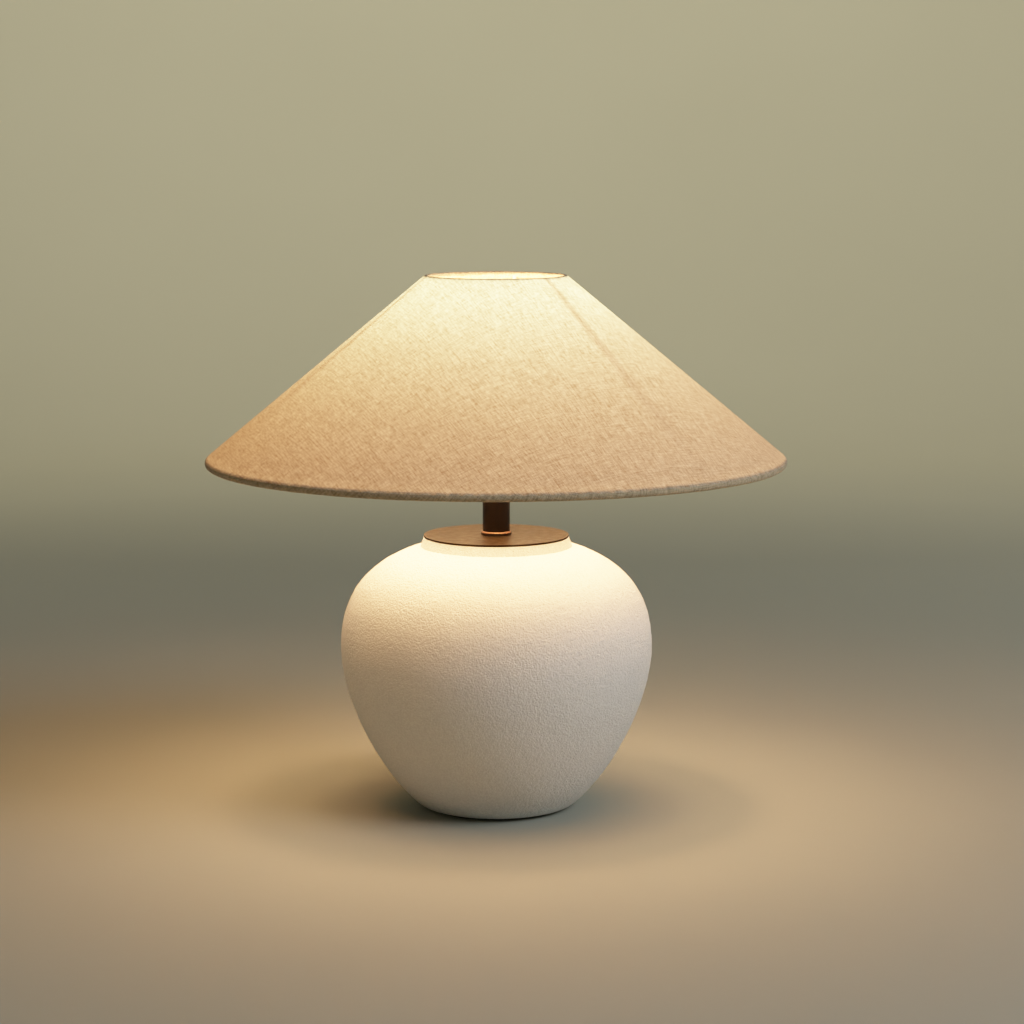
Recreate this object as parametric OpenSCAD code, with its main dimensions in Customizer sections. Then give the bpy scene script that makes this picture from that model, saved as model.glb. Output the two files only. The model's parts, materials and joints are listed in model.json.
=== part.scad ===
// Table lamp: a ceramic vase base, a short metal stem and a wide cone shade of linen.
// Millimetres, +Z up. The lamp's axis is X = Y = 0 and its felt pad rests on Z = 0.
// The front is -Y and the cord gland is at the back. Screw threads are drawn plain.

/* [Vase] */
// Height of the vase's top face
vase_h = 213; // [200:1:220]
// Largest radius of the vase
belly_r = 121.5; // [115:0.5:125]
// Height of the widest place
belly_z = 128; // [120:1:135]
// Thickness of the ceramic wall
vase_wall = 6.5; // [5:0.5:8]
// Thickness of the felt pad under the vase
pad_t = 1.5; // [1:0.5:3]
// Place of the cord gland, as a share of the way up the lower curve
gland_t = 0.25; // [0.25:0.01:0.4]
// Radius of the gland's bore, for a 7 mm lead
gland_bore_r = 3.7; // [3.55:0.05:4]

/* [Stem] */
// Radius of the metal disc on the vase's neck
disc_r = 56.4; // [50:0.2:57]
// Outer radius of the stem tube
stem_r = 10.65; // [9.5:0.05:11]
// Height of the stem tube's top end
stem_top_z = 246; // [240:1:246]
// Outer radius of the hollow threaded rod
rod_r = 5; // [4.9:0.05:5]

/* [Lampholder] */
// Outer radius of the lampholder's dome
holder_r = 19.5; // [19:0.1:19.6]
// Outer radius of the two shade rings
ring_r = 26.5; // [24:0.5:27]
// Radius of the switch knob
knob_r = 6.5; // [5:0.5:7]

/* [Bulb] */
// Radius of the bulb's globe
bulb_r = 30; // [28:0.5:32]
// Height of the globe's centre
bulb_z = 358; // [354:1:360]

/* [Shade] */
// Diameter over the bottom hem
shade_d = 450; // [420:1:460]
// Height of the bottom hem's lowest place
shade_low_z = 270.3; // [266:0.1:272]
// Diameter over the top hem
shade_top_d = 111.6; // [108:0.2:124]
// Height of the top hem's highest place
shade_top_z = 416.5; // [412:0.5:420]
// Thickness of the linen
linen_t = 0.6; // [0.5:0.1:0.8]
// Thickness of the stiff lining
lining_t = 0.5; // [0.4:0.1:0.6]
// Radius of the bottom wire ring
low_wire_r = 2.6; // [2:0.1:2.6]
// Radius of the top wire ring
top_wire_r = 1.3; // [1.2:0.1:1.4]
// Radius of the three arms' wire
arm_r = 1.5; // [1.3:0.1:1.6]

/* [Hidden] */
$fn = 96;
cut = 1;         // how far a cutting shape runs past a face
fit = 0.05;      // radial clearance between pieces that fit together
lead_r = 1.1;    // outer radius of a single insulated lead
screw_r = 1.5;   // radius of a small screw
nut_r = 14 / sqrt(3); // corner radius of a nut that is 14 mm across flats
nut_h = 4;

// Vase outline: the foot's rounding, two curves that meet at the belly, and a conical neck.
neck_r = 59;
neck_z = vase_h - 7;
mouth_r = 48.3;
mouth_h = 14;       // depth of the straight mouth
foot_start = [63.4, pad_t + 3.4];
foot_dir = [29, 25.5];
lower_curve = [foot_start, foot_start + foot_dir, [belly_r, belly_z - 42], [belly_r, belly_z]];
upper_curve = [[belly_r, belly_z], [belly_r, belly_z + 35], [belly_r - 15.4, neck_z - 13.7],
    [neck_r, neck_z]];
foot_angle = atan2(foot_dir[1], foot_dir[0]);
foot_round = (foot_start[1] - pad_t) / (1 - cos(foot_angle));
foot_r = foot_start[0] - foot_round * sin(foot_angle);
recess_r = 43;      // hollow under the foot
recess_z = pad_t + 10.5;
floor_z = recess_z + 7;
floor_r = 71;       // where the floor's rounding starts
board_t = 1.5;
curve_steps = 20;
inner_from = 0.2;   // where the inside leaves the floor, as a share of the lower curve

// Cord gland, square to the wall at the back; its own Z runs outwards
gland_r = 6;
gland_head_r = 8;
gland_head_t = 2;
gland_p = curve_point(lower_curve, gland_t);
gland_dir = curve_dir(lower_curve, gland_t);
gland_in = -8.8;
gland_out = 2.6;
gland_gap = 0.4;    // between the wall and the outer head

// Stack on the rod, from the bottom up
rod_low_z = 3.6;
rod_bore_r = 3.7;
slot_z = [97, 113];   // side slot where the leads enter the rod
slot_w = 5.4;
plate_r = 32;
plate_t = 2;
washer_r = 8.5;
washer_t = 1.5;
bracket_z = 84;
bracket_t = 1.5;
bracket = [30, 47.5];      // width and depth of the bracket's wide part
bracket_tail = [20, 54.5]; // and of its narrow part, which runs on past it
bracket_y = -9;            // near edge of both
deck_z = bracket_z + bracket_t;
gasket_t = 0.6;
disc_z = vase_h + gasket_t;
disc_t = 1.2;
stem_z = disc_z + disc_t;
collar_r = 12;
collar_h = 3;
tube_in_r = 9;        // inside of the stem tube
cap_t = 2.5;
cap_plug_h = 3;
holder_z = stem_top_z + cap_t;

// Terminal block inside the vase
block = [30, 16, 14];
block_y = 22;         // its near face
way_x = [-10, 0, 10]; // neutral, earth and live
way_z = deck_z + 5.5;
way_r = 2.6;
way_screw_y = [block_y + 4, block_y + 12]; // the two screws of each way
way_screw_r = 1.3;
way_screw_h = 3;
sleeve_y = block_y + 1;
sleeve_len = block[1] - 2;
block_screw_x = [-5, 5];
clamp = [20, 5, 8];
clamp_y = 40.5;       // its near face
clamp_screw_x = [-7, 7];
screw_end_z = bracket_z - 2; // lower end of the block's and the clamp's screws
tag_x = -15;          // earth tag's crimp
tag_w = 5;
tag_t = 0.8;
tag_ring_r = 7.5;
tag_crimp_r = 1.9;
tag_crimp_z = deck_z + tag_t + 1.6;

// Lampholder
wall = 1.6;
boss_r = 8.5;
boss_h = 7.5;
dome_floor_z = holder_z + boss_h + wall;
dome_round = holder_r - 9.5;
dome_mid_z = holder_z + boss_h + dome_round;
dome_top_z = holder_z + 27.5;
rod_top_z = dome_floor_z;
grub_z = holder_z + 4;
insert_z = dome_top_z - 2;
insert_h = 7;
insert_pit_r = 8.5;
insert_pit_z = insert_z + 3;
shell_z = insert_z + insert_h;
skirt_top_z = dome_top_z + 30;
skirt_in_r = 15.2;
thread_r = 20;
shell_r = 13.7;
shell_t = 0.5;
shell_h = 20.6;       // above its floor
shell_floor_t = 0.4;
switch_z = holder_z + 19.5;
switch_x = [3, 15];
switch_size = [switch_x[1] - switch_x[0], 14, 10];
pocket_y = 4.1;       // where the live lead enters the switch
bush_r = 3.5;
shaft_x = switch_x[0] + 6.5;
shaft_r = 2;
shaft_in = 5;         // how far the shaft runs into the knob
knob_x = 23;
knob_h = 10;
contact_r = 1.5;
post_x = -10.8;
post_r = 1.2;
post_w = 6;
post_screw_r = 1;
post_screw_z = insert_z - 2.9;
seat_z = dome_top_z + 5.5;
ring_h = 3.5;
fitter_z = seat_z + ring_h + fit;
fitter_t = 2;
fitter_r = 31;
lock_z = fitter_z + fitter_t + fit;

// Bulb
bulb_bottom_z = shell_z - 1;
neck_glass_r = 12.4;
neck_glass_z = bulb_z - 47;
glass_in_cap = 8;     // how far the glass runs down into the cap
glass_t = 1;
sweep_r = (neck_glass_r ^ 2 + (bulb_z - neck_glass_z) ^ 2 - bulb_r ^ 2) / (2 * (bulb_r - neck_glass_r));
sweep_angle = atan2(bulb_z - neck_glass_z, neck_glass_r + sweep_r);
cap_z = bulb_bottom_z + 4.5;
cap_top_z = cap_z + 20.5;
cap_r = 12.85;
ridge = 0.25;
ridge_pitch = 3.63;
pillar_r = 1.6;
filament_r = 6;       // how far the filaments stand from the axis
filament_z = [338, 374];
support_r = 0.4;

// Shade, in the (radius, height) plane: the linen is the common tangent of the two rolled hems.
low_roll_r = low_wire_r + 0.8;
top_roll_r = top_wire_r + linen_t;
low_c = [shade_d / 2 - low_roll_r, shade_low_z + low_roll_r];
top_c = [shade_top_d / 2 - top_roll_r, shade_top_z - top_roll_r];
shade_dir = top_c - low_c;
slope = atan2(shade_dir[1], -shade_dir[0]) - asin((low_roll_r - top_roll_r) / norm(shade_dir));
up = [-cos(slope), sin(slope)];
out = [sin(slope), cos(slope)];
low_p = low_c + low_roll_r * out;
top_p = top_c + top_roll_r * out;
glue_t = 0.1;     // adhesive between linen and lining
lining_in = linen_t + glue_t;
arm_azimuths = [44, 164, 284]; // from the front, towards +X
arm_foot = [28.6, fitter_z + fitter_t + arm_r - 0.2];
arm_knee = [32, arm_foot[1] + 1.6];

// ---- Shared functions ----

// A point on a cubic curve, and the curve's direction there
function curve_point(p, t) =
    pow(1 - t, 3) * p[0] + 3 * pow(1 - t, 2) * t * p[1] + 3 * (1 - t) * t * t * p[2] + pow(t, 3) * p[3];
function curve_dir(p, t) =
    pow(1 - t, 2) * (p[1] - p[0]) + 2 * (1 - t) * t * (p[2] - p[1]) + t * t * (p[3] - p[2]);
// A point moved to the left of the curve's travel by d
function curve_offset(p, t, d) =
    let (v = curve_dir(p, t)) curve_point(p, t) + d * [-v[1], v[0]] / norm(v);
// Points on an arc about c
function arc(c, r, from, to, steps) =
    [for (i = [0:steps]) let (a = from + (to - from) * i / steps) c + r * [cos(a), sin(a)]];

function unit(v) = v / norm(v);
// The direction of a smooth route at its point i
function route_dir(p, i) = unit(p[min(i + 1, len(p) - 1)] - p[max(i - 1, 0)]);
// A smooth route through the points of p, with n steps from each to the next
function smooth(p, n) = concat(
    [for (i = [0:len(p) - 2], k = [0:n - 1])
        let (t = k / n, s = norm(p[i + 1] - p[i]), a = route_dir(p, i), b = route_dir(p, i + 1))
            pow(1 - t, 2) * (1 + 2 * t) * p[i] + t * t * (3 - 2 * t) * p[i + 1]
            + s * t * (1 - t) * ((1 - t) * a - t * b)],
    [p[len(p) - 1]]);
// A sideways direction at each place of a route, turned as little as possible
function carry(dirs, i, guess) = i == len(dirs) ? [] :
    let (u = unit(guess - (guess * dirs[i]) * dirs[i])) concat([u], carry(dirs, i + 1, u));

// ---- Shared shapes ----

module tube(z, h, outer, inner) {
    translate([0, 0, z])
        difference() {
            cylinder(r = outer, h = h);
            translate([0, 0, -cut])
                cylinder(r = inner, h = h + 2 * cut);
        }
}

module hex_nut(z, bore) {
    translate([0, 0, z])
        difference() {
            cylinder(r = nut_r, h = nut_h, $fn = 6);
            translate([0, 0, -cut])
                cylinder(r = bore, h = nut_h + 2 * cut);
        }
}

// A flexible lead or bent wire of radius r that runs smoothly through the points
module flex(points, r, sides = 8) {
    path = smooth(points, 5);
    last = len(path) - 1;
    dirs = [for (i = [0:last]) unit(path[min(i + 1, last)] - path[max(i - 1, 0)])];
    sideways = carry(dirs, 0, [0.3, 0.9, 0.1]);
    rings = [for (i = [0:last], k = [0:sides - 1])
        let (u = sideways[i], v = cross(dirs[i], u), a = 360 * k / sides)
            path[i] + r * (cos(a) * u + sin(a) * v)];
    walls = [for (i = [0:last - 1], k = [0:sides - 1])
        let (a = i * sides + k, b = i * sides + (k + 1) % sides)
            each [[a, a + sides, b + sides], [a, b + sides, b]]];
    polyhedron(rings, concat(
        walls,
        [[for (k = [0:sides - 1]) k], [for (k = [sides - 1:-1:0]) last * sides + k]]));
}

// A flat slab under the shade's outer line: depth d[0] to d[1], from s[0] above the bottom
// tangent point to s[1] below the top one
module slab(d, s) {
    a = low_p + s[0] * up;
    b = top_p - s[1] * up;
    polygon([a - d[0] * out, b - d[0] * out, b - d[1] * out, a - d[1] * out]);
}

// A rolled hem round a wire ring, cut away where the linen runs into it
module rolled_hem(c, outer, inner) {
    rotate_extrude()
        difference() {
            translate(c)
                circle(r = outer);
            translate(c)
                circle(r = inner);
            slab([0, linen_t], [0, 0]);
        }
}

module wire_ring(c, r) {
    rotate_extrude()
        translate(c)
            circle(r = r);
}

// ---- Base ----

module foot_pad() {
    color([0.16, 0.15, 0.14])
        cylinder(r = foot_r - 0.8, h = pad_t);
}

module base_board() {
    color([0.35, 0.27, 0.2])
        translate([0, 0, pad_t])
            cylinder(r = recess_r - 0.4, h = board_t);
}

module vase_outline() {
    lower = [for (i = [0:curve_steps]) curve_point(lower_curve, i / curve_steps)];
    upper = [for (i = [1:curve_steps]) curve_point(upper_curve, i / curve_steps)];
    upper_in = [for (i = [curve_steps:-1:1]) curve_offset(upper_curve, i / curve_steps, vase_wall)];
    lower_in = [for (i = [curve_steps:-1:0])
        curve_offset(lower_curve, inner_from + (1 - inner_from) * i / curve_steps, vase_wall)];
    polygon(concat(
        [[0, recess_z], [recess_r, recess_z], [recess_r, pad_t]],
        arc([foot_r, pad_t + foot_round], foot_round, -90, foot_angle - 90, 6),
        [for (i = [1:curve_steps]) lower[i]],
        upper,
        [[disc_r + 0.4, vase_h - 1], [disc_r - 0.6, vase_h], [mouth_r, vase_h],
            [mouth_r, vase_h - mouth_h]],
        upper_in,
        lower_in,
        [[floor_r, floor_z + 2.5], [floor_r - 5, floor_z], [0, floor_z]]));
}

module vase_body() {
    color([0.93, 0.92, 0.9])
        difference() {
            rotate_extrude()
                vase_outline();
            cylinder(r = rod_r + 0.6, h = floor_z + cut);
            at_gland()
                translate([0, 0, gland_in - cut])
                    cylinder(r = gland_r + fit, h = 20);
        }
}

module at_gland() {
    translate([0, gland_p[0], gland_p[1]])
        rotate([-90 - atan2(gland_dir[0], gland_dir[1]), 0, 0])
            children();
}

module cord_gland() {
    color([0.08, 0.08, 0.08])
        at_gland()
            rotate_extrude()
                polygon([[gland_bore_r, gland_in], [gland_head_r, gland_in],
                    [gland_head_r, gland_in + gland_head_t], [gland_r, gland_in + gland_head_t],
                    [gland_r, gland_gap], [gland_head_r, gland_gap],
                    [gland_head_r, gland_out - 1.2], [gland_head_r - 1.2, gland_out],
                    [gland_bore_r, gland_out]]);
}

module base_plate() {
    color("silver")
        tube(recess_z - plate_t, plate_t, plate_r, rod_r + 0.3);
}

module lock_washer() {
    color("silver")
        tube(recess_z - plate_t - washer_t, washer_t, washer_r, rod_r + 0.2);
}

module base_nut() {
    color("silver")
        hex_nut(recess_z - plate_t - washer_t - nut_h, rod_r + fit);
}

module centre_rod() {
    color("silver")
        difference() {
            tube(rod_low_z, rod_top_z - rod_low_z, rod_r, rod_bore_r);
            translate([-slot_w / 2, 0, slot_z[0]])
                cube([slot_w, rod_r + cut, slot_z[1] - slot_z[0]]);
        }
}

// ---- Terminals inside the vase ----

module bracket_nuts() {
    color("silver") {
        hex_nut(bracket_z - nut_h, rod_r + fit);
        hex_nut(deck_z + tag_t, rod_r + fit);
    }
}

module terminal_bracket() {
    color([0.75, 0.76, 0.78])
        difference() {
            translate([0, 0, bracket_z])
                linear_extrude(bracket_t)
                    for (size = [bracket, bracket_tail])
                        translate([-size[0] / 2, bracket_y])
                            square(size);
            translate([0, 0, bracket_z - cut])
                cylinder(r = rod_r + 0.2, h = bracket_t + 2 * cut);
            for (x = block_screw_x)
                translate([x, block_y + block[1] / 2, bracket_z - cut])
                    cylinder(r = screw_r + fit, h = bracket_t + 2 * cut);
            for (x = clamp_screw_x)
                translate([x, clamp_y + clamp[1] / 2, bracket_z - cut])
                    cylinder(r = screw_r + fit, h = bracket_t + 2 * cut);
        }
}

module terminal_block() {
    color([0.92, 0.92, 0.9])
        difference() {
            translate([-block[0] / 2, block_y, deck_z])
                cube(block);
            for (x = way_x) {
                translate([x, block_y - cut, way_z])
                    rotate([-90, 0, 0])
                        cylinder(r = way_r, h = block[1] + 2 * cut);
                for (y = way_screw_y)
                    translate([x, y, way_z])
                        cylinder(r = way_screw_r + 1, h = block[2]);
            }
            for (x = block_screw_x)
                translate([x, block_y + block[1] / 2, deck_z - cut])
                    cylinder(r = screw_r + fit, h = block[2] + 2 * cut);
        }
}

module terminal_sleeves() {
    color([0.8, 0.65, 0.35])
        for (x = way_x)
            translate([x, sleeve_y, way_z])
                difference() {
                    rotate([-90, 0, 0])
                        cylinder(r = way_r - fit, h = sleeve_len);
                    translate([0, -cut, 0])
                        rotate([-90, 0, 0])
                            cylinder(r = way_r - 1, h = sleeve_len + 2 * cut);
                    for (y = way_screw_y)
                        translate([0, y - sleeve_y, 0])
                            cylinder(r = way_screw_r + fit, h = way_r + cut);
                }
}

module terminal_screws() {
    color("silver")
        for (x = way_x, y = way_screw_y)
            translate([x, y, way_z + lead_r + 0.02])
                difference() {
                    union() {
                        cylinder(r = way_screw_r, h = way_screw_h);
                        translate([0, 0, way_screw_h])
                            cylinder(r = way_screw_r + 0.8, h = 2.5);
                    }
                    driver_slot(way_screw_h + 1.7, 0.6);
                }
}

module round_head_screw(z_low, z_seat) {
    difference() {
        union() {
            translate([0, 0, z_low])
                cylinder(r = screw_r, h = z_seat - z_low + 0.5);
            translate([0, 0, z_seat])
                cylinder(r = screw_r + 1.3, h = 1.8);
        }
        driver_slot(z_seat + 1, 0.8);
    }
}

// The slot for a screwdriver, w wide and from z up
module driver_slot(z, w) {
    translate([-3, -w / 2, z])
        cube([6, w, 2]);
}

module block_screws() {
    color("silver")
        for (x = block_screw_x)
            translate([x, block_y + block[1] / 2, 0])
                round_head_screw(screw_end_z, deck_z + block[2]);
}

module cord_clamp() {
    color([0.92, 0.92, 0.9])
        difference() {
            translate([-clamp[0] / 2, clamp_y, deck_z])
                cube(clamp);
            translate([0, clamp_y - cut, deck_z])
                rotate([-90, 0, 0])
                    cylinder(r = gland_bore_r - 0.1, h = clamp[1] + 2 * cut);
            for (x = clamp_screw_x)
                translate([x, clamp_y + clamp[1] / 2, deck_z - cut])
                    cylinder(r = screw_r + fit, h = clamp[2] + 2 * cut);
        }
}

module clamp_screws() {
    color("silver")
        for (x = clamp_screw_x)
            translate([x, clamp_y + clamp[1] / 2, 0])
                round_head_screw(screw_end_z, deck_z + clamp[2]);
}

module earth_tag() {
    color([0.8, 0.65, 0.35])
        difference() {
            union() {
                translate([0, 0, deck_z])
                    cylinder(r = tag_ring_r, h = tag_t);
                translate([tag_x - tag_w / 2, -tag_w / 2, deck_z])
                    cube([-tag_x, tag_w, tag_t]);
                translate([tag_x, -tag_w / 2, tag_crimp_z])
                    rotate([-90, 0, 0])
                        cylinder(r = tag_crimp_r, h = tag_w);
            }
            translate([0, 0, deck_z - cut])
                cylinder(r = rod_r + fit, h = 5);
            translate([tag_x, -tag_w / 2 - cut, tag_crimp_z])
                rotate([-90, 0, 0])
                    cylinder(r = lead_r + fit, h = tag_w + 2 * cut);
        }
}

// A lead's route straight out of its way in the terminal block
function way_out(x) = [[x, block_y + 14, way_z], [x, block_y - 0.5, way_z], [x, block_y - 5, way_z]];
// The route of the live (side 1) or neutral (side -1) lead, in by the rod's slot and up its bore
function riser(side) = [
    each way_out(side * way_x[2]),
    [side * 1.4, 10, slot_z[0] + 1],
    [side * 1.4, 4.5, slot_z[0] + 7],
    [side * 1.5, 0.5, slot_z[1] - 1],
    [side * 1.5, 0, slot_z[1] + 8],
    [side * 1.5, 0, rod_top_z + 1.5]];

module lead_live() {
    color([0.4, 0.22, 0.12])
        flex(concat(riser(1), [[2, 3.2, switch_z - 3.5], [switch_x[0] + 2, pocket_y, switch_z]]), lead_r);
}

module lead_neutral() {
    color([0.15, 0.3, 0.6])
        flex(concat(riser(-1), [[-7, -1, insert_z - 8], [post_x, 0, insert_z - 4]]), lead_r);
}

module lead_earth() {
    color([0.35, 0.55, 0.2])
        flex(concat(way_out(0), [[-9, 12, way_z - 1], [tag_x, 6, way_z - 1.5],
            [tag_x, 3.5, tag_crimp_z], [tag_x, -2, tag_crimp_z]]), lead_r);
}

// ---- Neck and stem ----

module neck_gasket() {
    color([0.1, 0.1, 0.1])
        tube(vase_h, gasket_t, disc_r - 2, mouth_r + 0.2);
}

module locating_ring() {
    color([0.2, 0.16, 0.13])
        tube(disc_z - 7, 7, mouth_r - 0.7, mouth_r - 2.2);
}

module neck_disc() {
    color([0.3, 0.23, 0.17])
        tube(disc_z, disc_t, disc_r, rod_r + fit);
}

module stem_collar() {
    color([0.34, 0.24, 0.17])
        rotate_extrude()
            polygon([[stem_r + fit, stem_z], [collar_r, stem_z], [collar_r, stem_z + collar_h - 0.8],
                [collar_r - 0.5, stem_z + collar_h], [stem_r + fit, stem_z + collar_h]]);
}

module stem_tube() {
    color([0.16, 0.12, 0.1])
        tube(stem_z, stem_top_z - stem_z, stem_r, tube_in_r);
}

module stem_cap() {
    color([0.16, 0.12, 0.1])
        rotate_extrude()
            polygon([[rod_r + fit, stem_top_z - cap_plug_h], [tube_in_r - fit, stem_top_z - cap_plug_h],
                [tube_in_r - fit, stem_top_z], [collar_r, stem_top_z], [collar_r, holder_z - 0.6],
                [collar_r - 0.6, holder_z], [rod_r + fit, holder_z]]);
}

// ---- Lampholder ----

module holder_dome() {
    color([0.1, 0.1, 0.1])
        difference() {
            rotate_extrude()
                polygon(concat(
                    [[rod_r + fit, holder_z], [boss_r, holder_z], [boss_r, holder_z + boss_h]],
                    arc([holder_r - dome_round, dome_mid_z], dome_round, -90, 0, 12),
                    [[holder_r, dome_top_z], [holder_r - wall, dome_top_z]],
                    arc([holder_r - dome_round, dome_mid_z], dome_round - wall, 0, -90, 12),
                    [[rod_r + fit, dome_floor_z]]));
            translate([0, 0, switch_z])
                rotate([0, 90, 0])
                    cylinder(r = bush_r + fit, h = 30);
            translate([0, 0, grub_z])
                rotate([-90, 0, 0])
                    cylinder(r = screw_r + fit, h = 20);
        }
}

module grub_screw() {
    color("silver")
        translate([0, rod_r + 0.02, grub_z])
            rotate([-90, 0, 0])
                difference() {
                    cylinder(r = screw_r, h = 3.3);
                    translate([0, 0, 2])
                        cylinder(r = 0.8, h = 2, $fn = 6);
                }
}

module switch_body() {
    color([0.85, 0.84, 0.8])
        difference() {
            translate([switch_x[0], -switch_size[1] / 2, switch_z - switch_size[2] / 2])
                cube(switch_size);
            translate([shaft_x - 0.5, 0, switch_z])
                rotate([0, 90, 0])
                    cylinder(r = shaft_r + fit, h = 20);
            translate([switch_x[0] + 2.5, pocket_y, switch_z])
                rotate([0, -90, 0])
                    cylinder(r = lead_r + 1.7, h = 5);
        }
}

// The fixed bush round the shaft, with the nut that holds it in the dome
module switch_bush() {
    color([0.8, 0.65, 0.35])
        translate([switch_x[1], 0, switch_z])
            rotate([0, 90, 0])
                difference() {
                    union() {
                        cylinder(r = bush_r, h = knob_x - switch_x[1] - 0.5);
                        translate([0, 0, holder_r - switch_x[1] + 0.1])
                            cylinder(r = bush_r + 1.7, h = 1.8, $fn = 6);
                    }
                    translate([0, 0, -cut])
                        cylinder(r = shaft_r + fit, h = 20);
                }
}

module switch_link() {
    color([0.8, 0.65, 0.35])
        difference() {
            translate([-3, -2.5, switch_z + switch_size[2] / 2])
                cube([11, 5, 0.8]);
            translate([0, 0, switch_z])
                cylinder(r = contact_r + fit, h = 20);
        }
}

module neutral_post() {
    color([0.8, 0.65, 0.35])
        difference() {
            union() {
                translate([post_x - 2.7, -post_w / 2, insert_z - 4.5])
                    cube([5.4, post_w, 4.5]);
                translate([post_x, 0, insert_z - 1])
                    cylinder(r = post_r, h = insert_h + 1);
            }
            translate([post_x, 0, insert_z - 5.5])
                cylinder(r = lead_r + 0.9, h = 4);
            translate([post_x - 3.2, 0, post_screw_z])
                rotate([0, 90, 0])
                    cylinder(r = post_screw_r + fit, h = 2.5);
        }
}

module post_screw() {
    color("silver")
        translate([post_x - 5.2, 0, post_screw_z])
            rotate([0, 90, 0])
                difference() {
                    union() {
                        cylinder(r = post_screw_r + 0.8, h = 1.5);
                        cylinder(r = post_screw_r, h = 3.1);
                    }
                    driver_slot(0.7 - 2, 0.5);
                }
}

module holder_insert() {
    color([0.9, 0.89, 0.85])
        difference() {
            translate([0, 0, insert_z])
                cylinder(r = holder_r - wall - 0.4, h = insert_h);
            translate([0, 0, insert_pit_z])
                cylinder(r = insert_pit_r, h = insert_h);
            translate([0, 0, insert_z - cut])
                cylinder(r = contact_r + fit, h = insert_h);
            translate([post_x, 0, insert_z - cut])
                cylinder(r = post_r + fit, h = insert_h + 2 * cut);
        }
}

module centre_contact() {
    color([0.8, 0.65, 0.35])
        union() {
            translate([0, 0, switch_z + 4.5])
                cylinder(r = contact_r, h = bulb_bottom_z - 1 - switch_z - 4.5);
            translate([0, 0, bulb_bottom_z - 1.3])
                cylinder(r1 = 3.2, r2 = 4, h = 1);
        }
}

module screw_shell() {
    color([0.8, 0.65, 0.35]) {
        tube(shell_z, shell_floor_t, shell_r + shell_t, insert_pit_r + 0.5);
        tube(shell_z + shell_floor_t, shell_h, shell_r + shell_t, shell_r);
    }
}

// The skirt with its outer thread drawn as parallel ridges
module holder_skirt() {
    ridges = 9;
    pitch = 2.5;
    low = dome_top_z + 3.5;
    color([0.1, 0.1, 0.1])
        rotate_extrude()
            polygon(concat(
                [[holder_r - wall - 0.2, dome_top_z], [holder_r, dome_top_z], [holder_r, low]],
                [for (i = [0:ridges - 1], p = [[thread_r, 0.9], [thread_r, 1.5], [holder_r, 2.4]])
                    [p[0], low + i * pitch + p[1]]],
                [[holder_r, skirt_top_z - 0.6], [holder_r - 0.6, skirt_top_z],
                    [skirt_in_r, skirt_top_z], [skirt_in_r, shell_z + 0.2],
                    [holder_r - wall - 0.2, shell_z + 0.2]]));
}

// A screwed ring with finger notches round its edge
module shade_ring(z) {
    notches = 18;
    difference() {
        tube(z, ring_h, ring_r, thread_r + fit);
        for (i = [0:notches - 1])
            rotate([0, 0, i * 360 / notches])
                translate([ring_r + 0.6, 0, z - cut])
                    cylinder(r = 1.6, h = ring_h + 2 * cut, $fn = 24);
    }
}

module seat_ring() {
    color([0.12, 0.12, 0.12])
        shade_ring(seat_z);
}

module lock_ring() {
    color([0.12, 0.12, 0.12])
        shade_ring(lock_z);
}

// ---- Switch knob, turns about X ----

module switch_shaft() {
    color([0.8, 0.65, 0.35])
        translate([shaft_x, 0, switch_z])
            rotate([0, 90, 0])
                cylinder(r = shaft_r, h = knob_x + shaft_in - shaft_x);
}

module switch_knob() {
    flutes = 16;
    color([0.1, 0.1, 0.1])
        translate([knob_x, 0, switch_z])
            rotate([0, 90, 0])
                difference() {
                    union() {
                        rotate_extrude()
                            polygon([[0, 0], [knob_r - 0.4, 0], [knob_r, 0.6],
                                [knob_r, knob_h - 1.2], [knob_r - 1.2, knob_h], [0, knob_h]]);
                        translate([-knob_r - 0.5, -0.7, 1])
                            cube([2.5, 1.4, knob_h - 0.4]);
                    }
                    translate([0, 0, -cut])
                        cylinder(r = shaft_r + 0.02, h = shaft_in + cut);
                    for (i = [1:flutes - 1])
                        rotate([0, 0, 180 + i * 360 / flutes])
                            translate([knob_r + 0.35, 0, 1.4])
                                cylinder(r = 0.8, h = knob_h, $fn = 24);
                }
}

// ---- Bulb, lifts out along Z ----

// Half of the globe's outline, drawn inside by t
module globe(t) {
    polygon(concat(
        [[0, neck_glass_z - glass_in_cap], [neck_glass_r - t, neck_glass_z - glass_in_cap]],
        arc([neck_glass_r + sweep_r, neck_glass_z], sweep_r + t, 180, 180 - sweep_angle, 10),
        arc([0, bulb_z], bulb_r - t, -sweep_angle, 90, 36)));
}

module bulb_glass() {
    color([1, 0.97, 0.9, 0.6])
        rotate_extrude()
            difference() {
                globe(0);
                globe(glass_t);
            }
}

module bulb_pillar() {
    color([0.85, 0.9, 0.9, 0.5])
        rotate_extrude()
            polygon([[0, neck_glass_z - 3], [9, neck_glass_z - 3], [5, neck_glass_z + 4],
                [3, neck_glass_z + 14], [pillar_r, neck_glass_z + 18], [pillar_r, filament_z[1] + 4],
                [0, filament_z[1] + 4]]);
}

module bulb_supports() {
    color("silver")
        for (a = [0:90:270])
            rotate([0, 0, a + 45]) {
                flex([[pillar_r + 0.1, 0, filament_z[0] - 4], [filament_r - 1, 0, filament_z[0] - 3],
                    [filament_r, 0, filament_z[0]]], support_r, 6);
                flex([[pillar_r + 0.1, 0, filament_z[1] + 3], [filament_r - 1, 0, filament_z[1] + 2.5],
                    [filament_r, 0, filament_z[1]]], support_r, 6);
            }
}

module bulb_filaments() {
    color([1, 0.8, 0.35])
        for (a = [0:90:270])
            rotate([0, 0, a + 45])
                translate([filament_r, 0, filament_z[0]])
                    cylinder(r = 1, h = filament_z[1] - filament_z[0]);
}

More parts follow.
